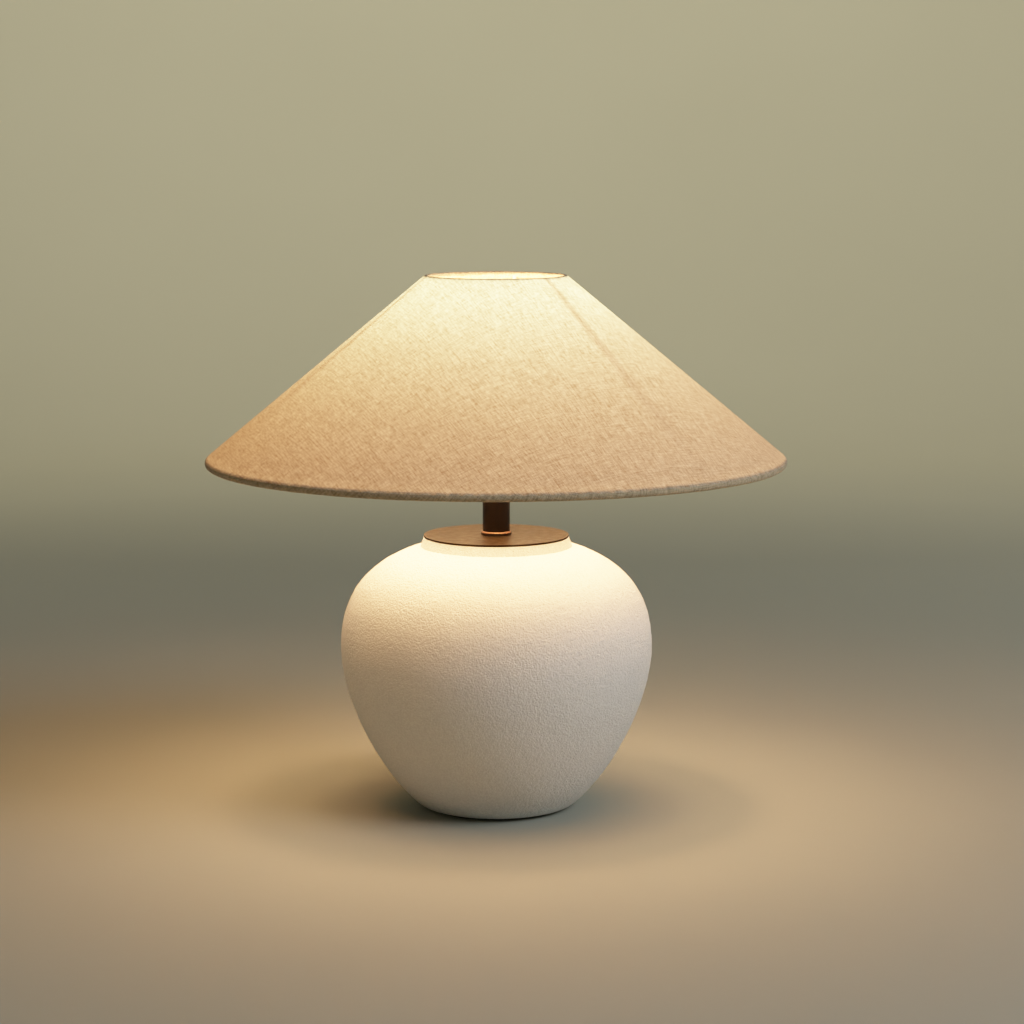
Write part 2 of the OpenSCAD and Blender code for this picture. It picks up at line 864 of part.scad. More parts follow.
module bulb_driver() {
    color([0.15, 0.4, 0.25])
        union() {
            translate([-9, -0.6, cap_z + 2])
                cube([18, 1.2, 14]);
            translate([-4, 0.6, cap_z + 3])
                cube([5, 4, 5]);
            translate([4, 3.4, cap_z + 4])
                cylinder(r = 3, h = 9);
            translate([-6, -3.6, cap_z + 6])
                cube([7, 3.2, 6]);
        }
}

module bulb_cap() {
    steps = 36;
    low = cap_z + 2;
    high = cap_top_z - 3;
    color([0.8, 0.8, 0.78])
        rotate_extrude()
            polygon(concat(
                [[cap_r - 0.75, cap_z], [cap_r - 0.35, cap_z]],
                [for (i = [0:steps]) let (z = low + (high - low) * i / steps)
                    [cap_r - ridge * cos(360 * (z - low) / ridge_pitch), z]],
                [[cap_r, cap_top_z - 2], [cap_r, cap_top_z], [neck_glass_r + fit, cap_top_z],
                    [neck_glass_r + fit, cap_top_z - 2.4], [cap_r - 0.75, high]]));
}

module bulb_insulator() {
    color([0.06, 0.06, 0.07])
        translate([0, 0, cap_z - 3])
            cylinder(r1 = 5, r2 = cap_r - 0.8, h = 3);
}

module bulb_contact() {
    color([0.75, 0.75, 0.75])
        rotate_extrude()
            polygon([[0, bulb_bottom_z], [3.6, bulb_bottom_z + 0.2], [4.8, bulb_bottom_z + 1],
                [4.8, cap_z - 3], [0, cap_z - 3]]);
}

// ---- Shade, turns about Z ----

module shade_cover() {
    color([0.82, 0.7, 0.54])
        rotate_extrude()
            slab([0, linen_t], [0, 0]);
}

module shade_lining() {
    color([0.96, 0.94, 0.88])
        rotate_extrude()
            slab([lining_in, lining_in + lining_t], [2.8, 2]);
}

module bottom_ring() {
    color([0.9, 0.9, 0.88])
        wire_ring(low_c, low_wire_r);
}

module bottom_hem() {
    color([0.55, 0.5, 0.4])
        rolled_hem(low_c, low_roll_r, low_wire_r);
}

module top_ring() {
    color([0.9, 0.9, 0.88])
        wire_ring(top_c, top_wire_r);
}

module top_hem() {
    color([0.75, 0.55, 0.35])
        rolled_hem(top_c, top_roll_r, top_wire_r);
}

module fitter_ring() {
    color([0.9, 0.9, 0.88])
        tube(fitter_z, fitter_t, fitter_r, thread_r + 0.6);
}

module fitter_arms() {
    color([0.9, 0.9, 0.88])
        for (a = arm_azimuths)
            rotate([0, 0, a - 90])
                flex([[arm_foot[0], 0, arm_foot[1]], [arm_knee[0], 0, arm_knee[1]],
                    [top_c[0], 0, top_c[1]]], arm_r, 12);
}

foot_pad();
base_board();
vase_body();
cord_gland();
base_plate();
lock_washer();
base_nut();
centre_rod();
bracket_nuts();
terminal_bracket();
terminal_block();
terminal_sleeves();
terminal_screws();
block_screws();
cord_clamp();
clamp_screws();
earth_tag();
lead_live();
lead_neutral();
lead_earth();
neck_gasket();
locating_ring();
neck_disc();
stem_collar();
stem_tube();
stem_cap();
holder_dome();
grub_screw();
switch_body();
switch_bush();
switch_link();
neutral_post();
post_screw();
holder_insert();
centre_contact();
screw_shell();
holder_skirt();
seat_ring();
lock_ring();
switch_shaft();
switch_knob();
bulb_glass();
bulb_pillar();
bulb_supports();
bulb_filaments();
bulb_driver();
bulb_cap();
bulb_insulator();
bulb_contact();
shade_cover();
shade_lining();
bottom_ring();
bottom_hem();
top_ring();
top_hem();
fitter_ring();
fitter_arms();
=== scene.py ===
"""Looks of a lit table lamp: a matte ceramic vase, a bronze stem and a wide cone shade of linen.

Lengths are in metres, in the frame's own axes: +Z up, and the front towards -Y.
"""

import json
import math

import bpy
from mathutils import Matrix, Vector, noise


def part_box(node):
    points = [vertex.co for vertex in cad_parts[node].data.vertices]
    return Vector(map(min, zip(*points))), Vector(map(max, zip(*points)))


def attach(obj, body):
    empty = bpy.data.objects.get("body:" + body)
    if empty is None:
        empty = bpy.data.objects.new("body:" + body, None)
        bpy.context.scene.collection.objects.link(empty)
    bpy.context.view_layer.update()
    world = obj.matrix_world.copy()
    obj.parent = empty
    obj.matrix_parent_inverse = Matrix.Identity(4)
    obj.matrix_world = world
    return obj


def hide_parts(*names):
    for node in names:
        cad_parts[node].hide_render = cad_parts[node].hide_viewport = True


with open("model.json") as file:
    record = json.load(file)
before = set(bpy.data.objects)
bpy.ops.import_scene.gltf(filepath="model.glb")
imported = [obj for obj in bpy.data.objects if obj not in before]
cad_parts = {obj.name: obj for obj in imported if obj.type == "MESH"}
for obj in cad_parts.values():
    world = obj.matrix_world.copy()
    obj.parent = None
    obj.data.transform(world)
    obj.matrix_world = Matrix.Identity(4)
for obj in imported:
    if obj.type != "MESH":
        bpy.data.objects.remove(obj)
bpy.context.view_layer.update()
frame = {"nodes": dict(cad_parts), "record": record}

MM = 0.001


# ---------------------------------------------------------------- materials


class Finish:
    """A material under construction: each call adds a node and gives its output socket."""

    def __init__(self, name):
        self.material = bpy.data.materials.new(name)
        self.material.use_nodes = True
        self.tree = self.material.node_tree
        self.tree.nodes.clear()
        self.output = self.add("ShaderNodeOutputMaterial")
        self.place = self.add("ShaderNodeTexCoord").outputs["Object"]

    def add(self, kind, **settings):
        node = self.tree.nodes.new(kind)
        for key, value in settings.items():
            setattr(node, key, value)
        return node

    def put(self, socket, value):
        """Sets a socket to a plain value, or links another socket to it."""
        if isinstance(value, bpy.types.NodeSocket):
            self.tree.links.new(value, socket)
        elif isinstance(value, (tuple, list)) and len(value) == 3 and len(socket.default_value) == 4:
            socket.default_value = (*value, 1)
        else:
            socket.default_value = value

    def stretched(self, scale, turn=0.0, source=None):
        """Coordinates turned about Z by an angle, then scaled along each axis."""
        turned = self.add("ShaderNodeVectorRotate", rotation_type="Z_AXIS")
        self.put(turned.inputs["Vector"], source or self.place)
        self.put(turned.inputs["Angle"], turn)
        scaled = self.add("ShaderNodeVectorMath", operation="MULTIPLY")
        self.put(scaled.inputs[0], turned.outputs[0])
        self.put(scaled.inputs[1], scale)
        return scaled.outputs[0]

    def noise(self, size, detail=2.0, source=None, roughness=0.5):
        """Noise from 0 to 1, with lumps of about the given size in metres."""
        node = self.add("ShaderNodeTexNoise")
        self.put(node.inputs["Vector"], source or self.place)
        self.put(node.inputs["Scale"], 1 / size)
        self.put(node.inputs["Detail"], detail)
        self.put(node.inputs["Roughness"], roughness)
        return node.outputs["Fac"]

    def cells(self, size, source=None):
        """Distance to the nearest of scattered points, about the given size apart."""
        node = self.add("ShaderNodeTexVoronoi")
        self.put(node.inputs["Vector"], source or self.place)
        self.put(node.inputs["Scale"], 1 / size)
        return node.outputs["Distance"]

    def span(self, value, low, high, to_low=0.0, to_high=1.0):
        """Carries the range low to high over to another range, and stays inside it."""
        node = self.add("ShaderNodeMapRange")
        for socket, number in zip(node.inputs, (value, low, high, to_low, to_high)):
            self.put(socket, number)
        return node.outputs["Result"]

    def math(self, operation, a, b=0.0):
        node = self.add("ShaderNodeMath", operation=operation)
        self.put(node.inputs[0], a)
        self.put(node.inputs[1], b)
        return node.outputs[0]

    def mix(self, factor, a, b):
        """A colour from a to b."""
        node = self.add("ShaderNodeMix", data_type="RGBA")
        self.put(node.inputs[0], factor)
        self.put(node.inputs[6], a)
        self.put(node.inputs[7], b)
        return node.outputs[2]

    def bump(self, height, depth, strength=1.0, under=None):
        """A normal from a height of 0 to 1 that stands for a depth in metres."""
        node = self.add("ShaderNodeBump")
        self.put(node.inputs["Height"], height)
        self.put(node.inputs["Distance"], depth)
        self.put(node.inputs["Strength"], strength)
        if under is not None:
            self.put(node.inputs["Normal"], under)
        return node.outputs[0]

    def principled(self, **inputs):
        """A Principled shader; an input's name is written with _ for each space."""
        node = self.add("ShaderNodeBsdfPrincipled")
        for key, value in inputs.items():
            self.put(node.inputs[key.replace("_", " ")], value)
        return node.outputs[0]

    def blend(self, factor, a, b):
        """A shader from a to b."""
        node = self.add("ShaderNodeMixShader")
        self.put(node.inputs[0], factor)
        self.put(node.inputs[1], a)
        self.put(node.inputs[2], b)
        return node.outputs[0]

    def done(self, shader):
        self.put(self.output.inputs["Surface"], shader)
        return self.material


def tint(colour, by):
    """A colour made lighter or darker, each channel inside 0 to 1."""
    return tuple(min(1.0, channel * by) for channel in colour)


def metal(name, colour, roughness, brush=(1, 1, 1), wear=0.25):
    """Bare metal with fine machining lines along the axes where brush is small, and dull patches."""
    f = Finish(name)
    lines = f.noise(0.4 * MM, 3, f.stretched(brush))
    patches = f.noise(9 * MM, 3)
    shade = f.mix(patches, tint(colour, 1 - wear), colour)
    dull = f.span(patches, 0.3, 0.7, roughness + 0.08, roughness)
    rough = f.math("ADD", f.span(lines, 0.3, 0.7, -0.06, 0.06), dull)
    machined = f.bump(lines, 0.02 * MM)
    return f.done(f.principled(Base_Color=shade, Metallic=1.0, Roughness=rough, Normal=machined))


def painted(name, colour, fleck, roughness, metallic=0.0, grain=0.35 * MM, specular=0.5):
    """Paint with a fine orange peel and scattered flecks."""
    f = Finish(name)
    peel = f.noise(grain, 2)
    dots = f.span(f.cells(2.6 * MM), 0.0, 0.16, 1.0, 0.0)
    rare = f.span(f.noise(5 * MM, 1), 0.5, 0.62)
    clouds = f.mix(f.noise(14 * MM, 4), tint(colour, 0.82), tint(colour, 1.15))
    shade = f.mix(f.math("MULTIPLY", dots, rare), clouds, fleck)
    rough = f.span(f.noise(6 * MM, 4), 0.3, 0.7, roughness - 0.06, roughness + 0.08)
    return f.done(f.principled(
        Base_Color=shade, Metallic=metallic, Roughness=rough, Specular_IOR_Level=specular,
        Normal=f.bump(peel, 0.03 * MM)))


def plastic(name, colour, roughness=0.45, grain=0.25 * MM):
    """Moulded plastic: a fine spark-eroded texture and faint flow marks."""
    f = Finish(name)
    flow = f.noise(11 * MM, 3, f.stretched((1, 1, 0.3)))
    shade = f.mix(flow, tint(colour, 0.86), tint(colour, 1.1))
    rough = f.span(f.noise(3 * MM, 3), 0.3, 0.7, roughness - 0.05, roughness + 0.07)
    texture = f.bump(f.noise(grain, 2), 0.03 * MM)
    return f.done(f.principled(Base_Color=shade, Roughness=rough, Normal=texture))


def felt():
    f = Finish("felt_black")
    fibres = f.noise(0.5 * MM, 5, f.stretched((1, 0.25, 1), 0.6), 0.7)
    shade = f.mix(fibres, (0.022, 0.021, 0.02), (0.075, 0.072, 0.066))
    hair = f.bump(fibres, 0.4 * MM)
    return f.done(f.principled(Base_Color=shade, Roughness=0.95, Sheen_Weight=0.3, Normal=hair))


def fibreboard():
    f = Finish("fibreboard_brown")
    fibres = f.noise(0.9 * MM, 5, f.stretched((1, 0.4, 1), 1.1), 0.7)
    shade = f.mix(fibres, (0.2, 0.14, 0.08), (0.42, 0.32, 0.2))
    return f.done(f.principled(Base_Color=shade, Roughness=0.9, Normal=f.bump(fibres, 0.15 * MM)))


def copper_edge():
    """Dark bronze paint with a lighter copper band at the top of the collar: partly wear through to copper,
    partly a painted highlight along its top bevel.
    """
    low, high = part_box("stem_collar")
    f = Finish("copper_wear_and_highlight_paint")
    height = f.add("ShaderNodeSeparateXYZ")
    f.put(height.inputs[0], f.place)
    jagged = f.math("ADD", height.outputs["Z"], f.span(f.noise(1.5 * MM, 3), 0.2, 0.8, -0.5 * MM, 0.5 * MM))
    # painted highlight and wear: a thin lighter copper band along the collar's top edge
    edge = f.span(jagged, high[2] - 1.1 * MM, high[2] - 0.5 * MM)
    dark = f.mix(f.noise(2 * MM, 4), (0.016, 0.009, 0.005), (0.03, 0.018, 0.01))
    shade = f.mix(edge, dark, (0.2, 0.085, 0.042))
    rough = f.span(edge, 0, 1, 0.42, 0.3)
    skin = f.bump(f.noise(0.5 * MM, 2), 0.03 * MM)
    return f.done(f.principled(Base_Color=shade, Metallic=0.75, Roughness=rough, Normal=skin))


def glaze(name, colour, roughness):
    """Glazed porcelain or vitrite glass, with iron specks and a soft waviness under the gloss."""
    f = Finish(name)
    specks = f.span(f.cells(3.1 * MM), 0.0, 0.07, 1.0, 0.0)
    shade = f.mix(f.noise(8 * MM, 3), tint(colour, 0.9), colour)
    shade = f.mix(f.math("MULTIPLY", specks, 0.5), shade, tint(colour, 0.4))
    rough = f.span(f.noise(4 * MM, 2), 0.3, 0.7, roughness, roughness + 0.08)
    waves = f.bump(f.noise(4 * MM, 1), 0.08 * MM)
    return f.done(f.principled(Base_Color=shade, Roughness=rough, Coat_Weight=0.5, Normal=waves))


def opal_glass():
    """Lit opal glass: it glows, and lets the rays of the lamp behind it out."""
    f = Finish("opal_glass_lit")
    cloud = f.noise(12 * MM, 3)
    colour = f.mix(cloud, (0.96, 0.92, 0.84), (1.0, 0.98, 0.93))
    glow = f.mix(cloud, (1.0, 0.78, 0.5), (1.0, 0.84, 0.6))
    glass = f.principled(
        Base_Color=colour, Roughness=f.span(cloud, 0.3, 0.7, 0.12, 0.2),
        Emission_Color=glow, Emission_Strength=BULB_GLOW)
    path = f.add("ShaderNodeLightPath")
    clear = f.add("ShaderNodeBsdfTransparent")
    return f.done(f.blend(path.outputs["Is Shadow Ray"], glass, clear.outputs[0]))


def clear_glass():
    f = Finish("clear_glass_pillar")
    seeds = f.bump(f.noise(2.5 * MM, 2), 0.1 * MM)
    tone = f.mix(f.noise(6 * MM, 2), (0.9, 0.95, 0.94), (0.97, 0.99, 0.98))
    return f.done(f.principled(
        Base_Color=tone, Roughness=0.03, Transmission_Weight=0.9, IOR=1.5, Normal=seeds))


def phosphor():
    """Lit light filaments: amber phosphor with brighter chips along it."""
    f = Finish("phosphor_lit")
    chips = f.noise(1.4 * MM, 1, f.stretched((0.1, 0.1, 1)))
    glow = f.mix(chips, (1.0, 0.55, 0.2), (1.0, 0.8, 0.45))
    return f.done(f.principled(
        Base_Color=(0.9, 0.6, 0.2), Roughness=f.span(chips, 0.3, 0.7, 0.4, 0.6),
        Emission_Color=glow, Emission_Strength=8.0, Normal=f.bump(chips, 0.1 * MM)))


def vase_ceramic():
    """Matte white ceramic. The mesh has the coarse sandy relief; this adds fine grains and pits as bumps, and
    painted shade in the grains' low spots.
    """
    f = Finish("vase_ceramic_sandy")
    grains = f.noise(1.7 * MM, 3, roughness=0.66)
    pits = f.span(f.cells(1.7 * MM), 0.05, 0.5)
    dust = f.noise(30 * MM, 4)
    shade = f.mix(dust, VASE_COLOUR, tint(VASE_COLOUR, 0.955))
    # painted shade: the grains' low spots are darkened, in place of the shading that a raking light gives the
    # relief
    shade = f.mix(f.span(grains, 0.36, 0.6, 0.34, 0), shade, tint(VASE_COLOUR, 0.66))
    rough = f.span(grains, 0.3, 0.7, 0.95, 0.82)
    relief = f.bump(grains, 0.9 * MM, 1.0, f.bump(pits, 0.3 * MM, 0.8))
    return f.done(f.principled(Base_Color=shade, Roughness=rough, Specular_IOR_Level=0.2, Normal=relief))


def linen(name, see_through, light_thread, dark_thread):
    """Slubbed plain weave in the cloth's own flat coordinates, which the pieces carry as their UV map.

    see_through is the share of the cloth that the lamp shines through: 0 on the hems, which are many layers.
    """
    f = Finish(name)
    flat = f.add("ShaderNodeUVMap", uv_map=FLAT_MAP).outputs[0]
    heathers, bumps, tones = [], [], []
    for turn, weight in ((THREAD_TURN, 1.0), (THREAD_TURN + math.pi / 2, 0.75)):
        # along is the threads' direction: streaks are long that way and a thread wide across
        fine = f.noise(1.0, 2, f.stretched((1 / (5 * MM), 1 / (0.85 * MM), 1), turn, flat), 0.65)
        slub = f.noise(1.0, 3, f.stretched((1 / (16 * MM), 1 / (1.25 * MM), 1), turn, flat), 0.6)
        band = f.noise(1.0, 2, f.stretched((1 / (60 * MM), 1 / (4.5 * MM), 1), turn, flat), 0.5)
        heathers.append(f.math("MULTIPLY", f.span(fine, 0.37, 0.63), weight))
        bumps.append(f.math("MULTIPLY", f.span(slub, 0.42, 0.72), weight))
        tones.append(f.math("MULTIPLY", f.span(band, 0.3, 0.7), weight))
    heather = f.math("ADD", *heathers)
    slubs = f.math("ADD", *bumps)
    bands = f.math("ADD", *tones)
    dark = f.math("ADD", f.math("MULTIPLY", slubs, 0.46), f.math("MULTIPLY", heather, 0.46))
    dark = f.math("ADD", dark, f.math("SUBTRACT", f.math("MULTIPLY", bands, 0.14), 0.2))
    cross = f.add("ShaderNodeSeparateXYZ")
    f.put(cross.inputs[0], f.stretched((math.pi / THREAD_PITCH,) * 3, THREAD_TURN, flat))
    over = f.math("ABSOLUTE", f.math("MULTIPLY", *[f.math("SINE", cross.outputs[i]) for i in (0, 1)]))
    height = f.math("ADD", f.math("MULTIPLY", over, 0.5), f.math("MULTIPLY", slubs, 0.55))
    relief = f.bump(height, 0.35 * MM, 0.9)
    front = f.mix(dark, light_thread, dark_thread)
    body = f.principled(
        Base_Color=front, Roughness=f.span(heather, 0.2, 1.4, 0.8, 0.95), Specular_IOR_Level=0.15,
        Sheen_Weight=0.12, Sheen_Roughness=0.5, Normal=relief)
    if not see_through:
        return f.done(body)
    glow = f.add("ShaderNodeBsdfTranslucent")
    f.put(glow.inputs["Color"], f.mix(dark, GLOW_LIGHT, GLOW_DARK))
    f.put(glow.inputs["Normal"], relief)
    return f.done(f.blend(see_through, body, glow.outputs[0]))


def lining_sheet():
    """Stiff white lining with a painted glow: its emission stands in for the bulb's light that it passes on
    to the linen.

    The light goes to and fro inside the shade, so the painted glow falls about as one over its distance from
    the bulb.
    """
    f = Finish("lining_painted_glow")
    cloud = f.noise(25 * MM, 3)
    tone = f.mix(cloud, (0.9, 0.88, 0.82), (0.96, 0.95, 0.9))
    away = f.add("ShaderNodeVectorMath", operation="DISTANCE")
    f.put(away.inputs[0], f.place)
    f.put(away.inputs[1], GLOBE_C)
    # painted light: the glow's strength comes from the distance to the bulb, not from the bulb lighting it
    near = f.math("SUBTRACT", f.math("DIVIDE", GLOW_REACH, away.outputs["Value"]), GLOW_LOSS)
    near = f.math("MULTIPLY", near, f.span(cloud, 0.3, 0.7, 0.96, 1.0))
    spot = f.add("ShaderNodeSeparateXYZ")
    f.put(spot.inputs[0], f.place)
    # painted shadows of the carrier's arms on the glow
    for azimuth in ARM_AZIMUTHS:
        near = f.math("MULTIPLY", near, arm_shadow(f, spot.outputs["X"], spot.outputs["Y"], azimuth))
    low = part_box("shade_lining")[0][2]
    # painted light: the glow is brighter in a strip just above the bottom hem
    near = f.math("MULTIPLY", near, f.span(spot.outputs["Z"], low, low + EDGE_STRIP, EDGE_LIFT, 1.0))
    warmth = f.mix(f.span(near, 0.2, 0.75), GLOW_FAR, GLOW_NEAR)
    level = f.mix(near, (0, 0, 0), warmth)
    return f.done(f.principled(
        Base_Color=tone, Roughness=f.span(cloud, 0.3, 0.7, 0.5, 0.62), Specular_IOR_Level=0.3,
        Emission_Color=level, Emission_Strength=LINING_GLOW))


def arm_shadow(f, x, y, azimuth):
    """The share of light left by one arm of the carrier: a dark line that widens and fades down the shade."""
    sine, cosine = math.sin(math.radians(azimuth)), math.cos(math.radians(azimuth))
    along = f.math("SUBTRACT", f.math("MULTIPLY", x, sine), f.math("MULTIPLY", y, cosine))
    across = f.math("ABSOLUTE", f.math("ADD", f.math("MULTIPLY", x, cosine), f.math("MULTIPLY", y, sine)))
    blur = f.span(along, *ARM_RUN, 3.2 * MM, 12 * MM)
    depth = f.span(along, *ARM_RUN, 0.42, 0.05)
    dark = f.math("MULTIPLY", depth, f.span(f.math("DIVIDE", across, blur), 0.25, 1.0, 1.0, 0.0))
    this_side = f.span(along, 0, 5 * MM)
    return f.math("SUBTRACT", 1.0, f.math("MULTIPLY", dark, this_side))


glass_low, glass_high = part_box("bulb_glass")
GLOBE_R = (glass_high[0] - glass_low[0]) / 2
GLOBE_C = (0, 0, glass_high[2] - GLOBE_R)
ARM_AZIMUTHS = (44, 164, 284)  # from the front, towards +X
ARM_RUN = (50 * MM, 200 * MM)  # distances from the axis between which an arm's shadow widens and fades
# strength, fall-off and colours of the lining's painted glow
LINING_GLOW = 8.6
GLOW_REACH, GLOW_LOSS = 74.5 * MM, 0.133
EDGE_STRIP, EDGE_LIFT = 4 * MM, 1.22  # the painted brighter strip of glow just above the bottom hem
GLOW_NEAR, GLOW_FAR = (1.0, 0.87, 0.49), (1.0, 0.48, 0.19)
BULB_GLOW = 4.0
VASE_COLOUR = (0.8, 0.79, 0.765)
FLAT_MAP = "flat_cloth"
THREAD_TURN = math.radians(-30)  # from the cloth's own X axis, which lies along the front generator
THREAD_PITCH = 0.62 * MM
LINEN_LIGHT, LINEN_DARK = (0.74, 0.66, 0.52), (0.32, 0.26, 0.18)
HEM_LIGHT, HEM_DARK = (0.72, 0.56, 0.37), (0.3, 0.21, 0.12)
GLOW_LIGHT, GLOW_DARK = (1.0, 0.97, 0.88), (0.5, 0.41, 0.3)

FINISHES = {
    "felt": felt(),
    "fibreboard": fibreboard(),
    "vase_ceramic": vase_ceramic(),
    "black_rubber": plastic("black_rubber_soft", (0.02, 0.02, 0.021), 0.7, 0.5 * MM),
    "zinc_steel": metal("zinc_plated_steel", (0.62, 0.63, 0.66), 0.34, (1, 1, 0.15)),
    "cream_plastic": plastic("cream_plastic_moulded", (0.74, 0.7, 0.58), 0.4),
    "brass": metal("brass_pressed", (0.76, 0.55, 0.25), 0.28, (1, 1, 0.1)),
    "brown_insulation": plastic("brown_insulation_lead", (0.14, 0.055, 0.025), 0.4),
    "blue_insulation": plastic("blue_insulation_lead", (0.03, 0.09, 0.36), 0.4),
    "green_insulation": plastic("green_insulation_lead", (0.1, 0.34, 0.06), 0.4),
    "bronze_paint": painted(
        "bronze_paint_disc", (0.022, 0.012, 0.0045), (0.13, 0.09, 0.05), 0.38, 0.1, specular=0.08),
    "dark_bronze_paint": painted(
        "dark_bronze_paint_stem", (0.006, 0.003, 0.0012), (0.02, 0.013, 0.008), 0.36, 0.1, specular=0.14),
    "copper_edge_bronze": copper_edge(),
    "black_plastic": plastic("black_plastic_moulded", (0.022, 0.021, 0.02), 0.42),
    "glazed_insert": glaze("porcelain_glazed", (0.84, 0.82, 0.76), 0.1),
    "opal_glass": opal_glass(),
    "clear_glass": clear_glass(),
    "support_wire": metal("support_wire_drawn", (0.7, 0.69, 0.68), 0.25, (1, 1, 0.1)),
    "phosphor": phosphor(),
    "board_green": plastic("board_green_mask", (0.03, 0.2, 0.09), 0.3),
    "bulb_shell": metal("bulb_shell_nickel", (0.72, 0.71, 0.69), 0.24, (1, 1, 0.1)),
    "black_glass": glaze("vitrite_black", (0.03, 0.03, 0.032), 0.12),
    "solder": metal("solder_tinned", (0.66, 0.66, 0.67), 0.35),
    "linen": linen("linen_hem", 0, HEM_LIGHT, HEM_DARK),
    "lining": lining_sheet(),
    "white_wire": painted("white_wire_enamel", (0.82, 0.8, 0.76), (0.6, 0.57, 0.5), 0.35, grain=0.6 * MM),
}
LINEN_LIT = linen("linen_cover_lit", 0.42, LINEN_LIGHT, LINEN_DARK)
for slot in ("opal_glass", "phosphor", "lining"):
    # these glow, and light what their rays happen to reach; the lamps below are the ones that get aimed at
    FINISHES[slot].cycles.emission_sampling = "NONE"

for row in frame["record"]["subparts"]:
    node = frame["nodes"][row["node"]]
    for place in node.material_slots:
        place.material = FINISHES[row["material_slot"]]


# ---------------------------------------------------------------- meshes


def mesh_piece(name, points, faces, material, uvs=None, crease=math.radians(38)):
    """A smooth-shaded piece, with sharp edges past the crease angle.

    uvs gives each vertex's place in the flat cloth.
    """
    mesh = bpy.data.meshes.new(name)
    mesh.from_pydata(points, [], faces)
    mesh.polygons.foreach_set("use_smooth", [True] * len(mesh.polygons))
    mesh.set_sharp_from_angle(angle=crease)
    mesh.materials.append(material)
    if uvs is not None:
        layer = mesh.uv_layers.new(name=FLAT_MAP)
        corners = [0] * len(mesh.loops)
        mesh.loops.foreach_get("vertex_index", corners)
        layer.data.foreach_set("uv", [number for corner in corners for number in uvs[corner]])
    piece = bpy.data.objects.new(name, mesh)
    bpy.context.scene.collection.objects.link(piece)
    return piece


def grid_faces(rows, columns, close_rows=False, close_columns=True):
    """Quads of a grid whose point (i, j) has the index i * columns + j."""
    faces = []
    for i in range(rows if close_rows else rows - 1):
        for j in range(columns if close_columns else columns - 1):
            here, above = i * columns, (i + 1) % rows * columns
            next_j = (j + 1) % columns
            faces.append((here + j, here + next_j, above + next_j, above + j))
    return faces


def bezier(p, t):
    """A point of a cubic curve in the (radius, height) plane."""
    s = 1 - t
    return s ** 3 * p[0] + 3 * s * s * t * p[1] + 3 * s * t * t * p[2] + t ** 3 * p[3]


def offset(p, t, by):
    """A point beside the curve, to its left by a distance."""
    along = (bezier(p, min(1, t + 1e-4)) - bezier(p, max(0, t - 1e-4))).normalized()
    return bezier(p, t) + by * Vector((-along.y, along.x))


def arc(centre, radius, start, end, steps):
    """Points of an arc between two angles in degrees, both ends included."""
    turns = [math.radians(start + (end - start) * i / steps) for i in range(steps + 1)]
    return [centre + radius * Vector((math.cos(a), math.sin(a))) for a in turns]


def evenly(points, step):
    """The same open line with its points about one step apart."""
    lengths = [0.0]
    for a, b in zip(points, points[1:]):
        lengths.append(lengths[-1] + (b - a).length)
    count = max(1, round(lengths[-1] / step))
    made, i = [], 0
    for k in range(count + 1):
        want = lengths[-1] * k / count
        while i < len(points) - 2 and lengths[i + 1] < want:
            i += 1
        share = (want - lengths[i]) / max(lengths[i + 1] - lengths[i], 1e-12)
        made.append(points[i].lerp(points[i + 1], min(share, 1)))
    return made


def mm(*numbers):
    return Vector(numbers) * MM


# ---------------------------------------------------------------- vase

VASE_SIDES = 480
VASE_STEP = 1.62 * MM
VASE_WALL = 6.5 * MM
PAD_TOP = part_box("foot_pad")[1][2]
VASE_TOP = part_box("vase_body")[1][2]
BELLY_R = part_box("vase_body")[1][0]
BELLY_Z = PAD_TOP + 126.5 * MM
RELIEF_DEPTH = 0.36 * MM


def vase_profile():
    """The vase's closed outline of (radius, height), and how many of its first points face outwards."""
    foot, lean = Vector((63.4 * MM, PAD_TOP + 3.4 * MM)), math.atan2(25.5, 29)
    belly = Vector((BELLY_R, BELLY_Z))
    neck = Vector((59 * MM, VASE_TOP - 7 * MM))
    lower = [foot, foot + mm(29, 25.5), belly - mm(0, 42), belly]
    upper = [belly, belly + mm(0, 35), neck + mm(47.1, -13.7), neck]
    round_r = (foot.y - PAD_TOP) / (1 - math.cos(lean))
    round_c = Vector((foot.x - round_r * math.sin(lean), PAD_TOP + round_r))
    steps = [i / 200 for i in range(201)]
    outside = arc(round_c, round_r, -90, math.degrees(lean) - 90, 12)
    outside += [bezier(lower, t) for t in steps[1:]] + [bezier(upper, t) for t in steps[1:]]
    outside = evenly(outside, VASE_STEP)
    lip_top = Vector((56.4 * MM, VASE_TOP))
    outside += evenly([neck, lip_top + mm(0.4, -1)], 1.5 * MM)[1:]
    shown = len(outside)
    lip = arc(lip_top + mm(-0.4, -0.8), 0.8 * MM, 20, 90, 5)
    mouth = Vector((48.3 * MM, VASE_TOP))
    inside = [offset(upper, 1 - t, VASE_WALL) for t in steps[:-1]]
    inside += [offset(lower, 1 - 0.8 * t, VASE_WALL) for t in steps]
    recess, floor, bore = PAD_TOP + 10.5 * MM, PAD_TOP + 17.5 * MM, 5.6 * MM
    outline = outside + lip + [mouth, mouth - mm(0, 14)]
    outline += evenly(inside, 9 * MM)
    outline += [Vector((71 * MM, floor + 2.5 * MM)), Vector((66 * MM, floor)), Vector((bore, floor))]
    outline += [Vector((bore, recess)), Vector((43 * MM, recess)), Vector((43 * MM, PAD_TOP))]
    return outline, shown


def relief(point):
    """Sandy relief from -1 to 1: rounded grains of two sizes on broad, uneven swells."""
    grains = noise.noise(point / (2.6 * MM)) + 0.6 * noise.noise(point / (1.7 * MM) + Vector((7, 3, 5)))
    return 0.8 * grains + 0.5 * noise.noise(point / (14 * MM))


